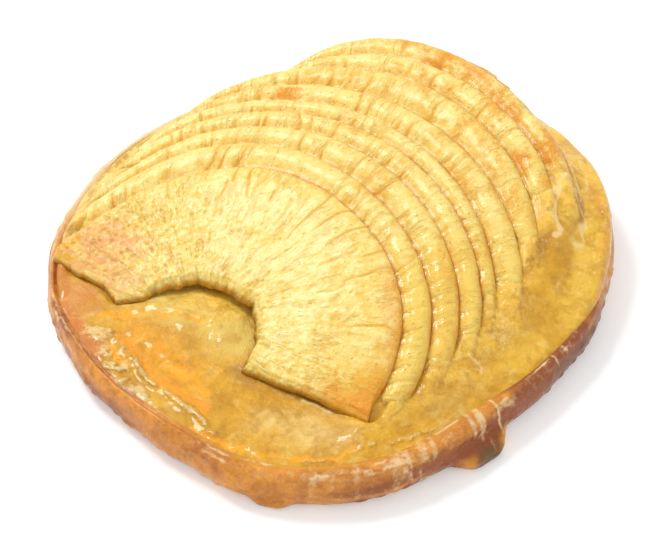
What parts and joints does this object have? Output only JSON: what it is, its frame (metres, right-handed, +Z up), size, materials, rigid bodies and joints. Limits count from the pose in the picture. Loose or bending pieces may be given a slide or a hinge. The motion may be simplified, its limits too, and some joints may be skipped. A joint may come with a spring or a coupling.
{
  "type": "apple tartlet",
  "caption": "Round shallow tartlet: a browned pastry case filled with baked custard, with thin apple slices fanned over it from front left to back right.",
  "frame": {"origin": "middle of the tartlet's extents, at its flat foot", "axes": "+Z up, -Y towards the low front edge of the custard, +X to the right of that side"},
  "size_m": [0.1099, 0.1143, 0.0215],
  "materials": {
    "crust_baked": "baked pastry, glossy orange brown with a paler back",
    "custard": "baked golden custard with a wet glaze",
    "apple_flesh": "baked pale yellow apple with browned edges and a thin glaze"
  },
  "bodies": {
    "root": {"crust": "crust_baked", "custard": "custard", "apple_slice_01": "apple_flesh", "apple_slice_02": "apple_flesh", "apple_slice_03": "apple_flesh", "apple_slice_04": "apple_flesh", "apple_slice_05": "apple_flesh", "apple_slice_06": "apple_flesh", "apple_slice_07": "apple_flesh", "apple_slice_08": "apple_flesh", "apple_slice_09": "apple_flesh", "apple_slice_10": "apple_flesh", "apple_slice_11": "apple_flesh", "apple_heel": "apple_flesh"}
  },
  "joints": []
}
